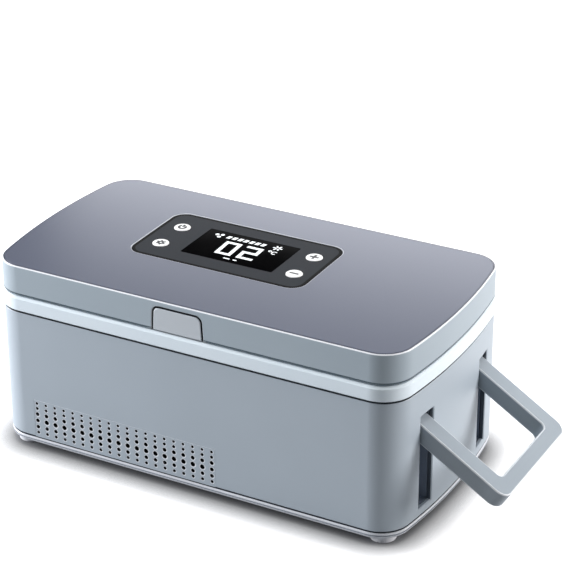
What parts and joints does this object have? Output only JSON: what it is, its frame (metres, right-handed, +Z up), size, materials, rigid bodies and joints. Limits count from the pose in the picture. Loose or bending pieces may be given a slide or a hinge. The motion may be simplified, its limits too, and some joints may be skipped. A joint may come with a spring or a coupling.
{
  "type": "insulin cooling case",
  "caption": "Portable chilled case for insulin pens: long box with bowed ends, hinged lid with display and keys, push latch, perforated vent and a swinging end handle.",
  "frame": {"origin": "under the middle of the whole object's box, on the surface that the feet stand on", "axes": "+X along the case towards the handle, +Y from the latch to the hinges, +Z up"},
  "size_m": [0.2838, 0.134, 0.1066],
  "materials": {
    "shell_grey": "satin moulded, blue grey",
    "lid_slate": "satin slate with a faint metallic sheen",
    "band_blue": "pale blue, semi gloss",
    "base_grey": "satin pale grey",
    "panel_dark": "smooth dark grey",
    "display_black": "glossy black window",
    "key_white": "white, satin",
    "socket_dark": "dark blue grey, matte",
    "foot_rubber": "pale grey rubber",
    "seal_rubber": "grey silicone",
    "steel": "bright steel",
    "aluminium": "anodised, satin",
    "foam": "white insulating foam",
    "liner_white": "white, semi gloss",
    "module_ceramic": "white ceramic",
    "inner_black": "black moulding",
    "board_green": "green circuit board",
    "cell_wrap": "blue shrink wrap over a metal can"
  },
  "bodies": {
    "case": {"base_plate": "base_grey", "foot_1": "foot_rubber", "foot_2": "foot_rubber", "foot_3": "foot_rubber", "foot_4": "foot_rubber", "base_screw_1": "steel", "base_screw_2": "steel", "base_screw_3": "steel", "base_screw_4": "steel", "vent_grille": "shell_grey", "body_shell": "shell_grey", "handle_socket_front": "socket_dark", "handle_socket_rear": "socket_dark", "handle_pin_front": "steel", "handle_pin_rear": "steel", "fan_frame": "inner_black", "heat_sink": "aluminium", "peltier_module": "module_ceramic", "cold_plate": "aluminium", "chamber_liner": "aluminium", "foam_block": "foam", "battery_tray": "inner_black", "battery_cell_1": "cell_wrap", "battery_cell_2": "cell_wrap", "battery_cell_3": "cell_wrap", "battery_cell_4": "cell_wrap", "main_board": "board_green", "power_inlet": "inner_black", "hinge_pin_left": "steel", "hinge_pin_right": "steel", "rim_band": "band_blue"},
    "lid": {"lid_shell": "shell_grey", "lid_top_plate": "lid_slate", "control_panel": "panel_dark", "display_window": "display_black", "display_module": "inner_black", "key_board": "board_green", "lid_foam": "foam", "lid_liner": "liner_white", "lid_gasket": "seal_rubber", "lid_screw_1": "steel", "lid_screw_2": "steel", "lid_screw_3": "steel", "lid_screw_4": "steel", "latch_spring": "steel"},
    "latch": {"latch_button": "shell_grey"},
    "handle": {"handle_bail": "shell_grey"},
    "power_key": {"key_power": "key_white"},
    "set_key": {"key_set": "key_white"},
    "plus_key": {"key_plus": "key_white"},
    "minus_key": {"key_minus": "key_white"},
    "fan": {"fan_rotor": "inner_black"}
  },
  "joints": [
    {"name": "lid_hinge", "type": "hinge", "parent": "case", "child": "lid", "pos_m": [0, 0.06355, 0.09], "axis": [-1, 0, 0], "range_deg": [0, 105]},
    {"name": "latch_press", "type": "slide", "parent": "lid", "child": "latch", "axis": [0, 1, 0], "range_m": [0, 0.0025], "stiffness_N_per_m": 900, "springref_m": -0.001, "deforming": ["latch_spring"]},
    {"name": "handle_swing", "type": "hinge", "parent": "case", "child": "handle", "pos_m": [0.09156, 0, 0.0576], "axis": [0, -1, 0], "range_deg": [-43, 52]},
    {"name": "power_key_press", "type": "slide", "parent": "lid", "child": "power_key", "axis": [0, 0, -1], "range_m": [0, 0.0006], "stiffness_N_per_m": 1500, "springref_m": -0.0003},
    {"name": "set_key_press", "type": "slide", "parent": "lid", "child": "set_key", "axis": [0, 0, -1], "range_m": [0, 0.0006], "stiffness_N_per_m": 1500, "springref_m": -0.0003},
    {"name": "plus_key_press", "type": "slide", "parent": "lid", "child": "plus_key", "axis": [0, 0, -1], "range_m": [0, 0.0006], "stiffness_N_per_m": 1500, "springref_m": -0.0003},
    {"name": "minus_key_press", "type": "slide", "parent": "lid", "child": "minus_key", "axis": [0, 0, -1], "range_m": [0, 0.0006], "stiffness_N_per_m": 1500, "springref_m": -0.0003},
    {"name": "fan_spin", "type": "hinge", "parent": "case", "child": "fan", "pos_m": [-0.0652, -0.00355, 0.0133], "axis": [0, 0, 1], "continuous": true}
  ]
}
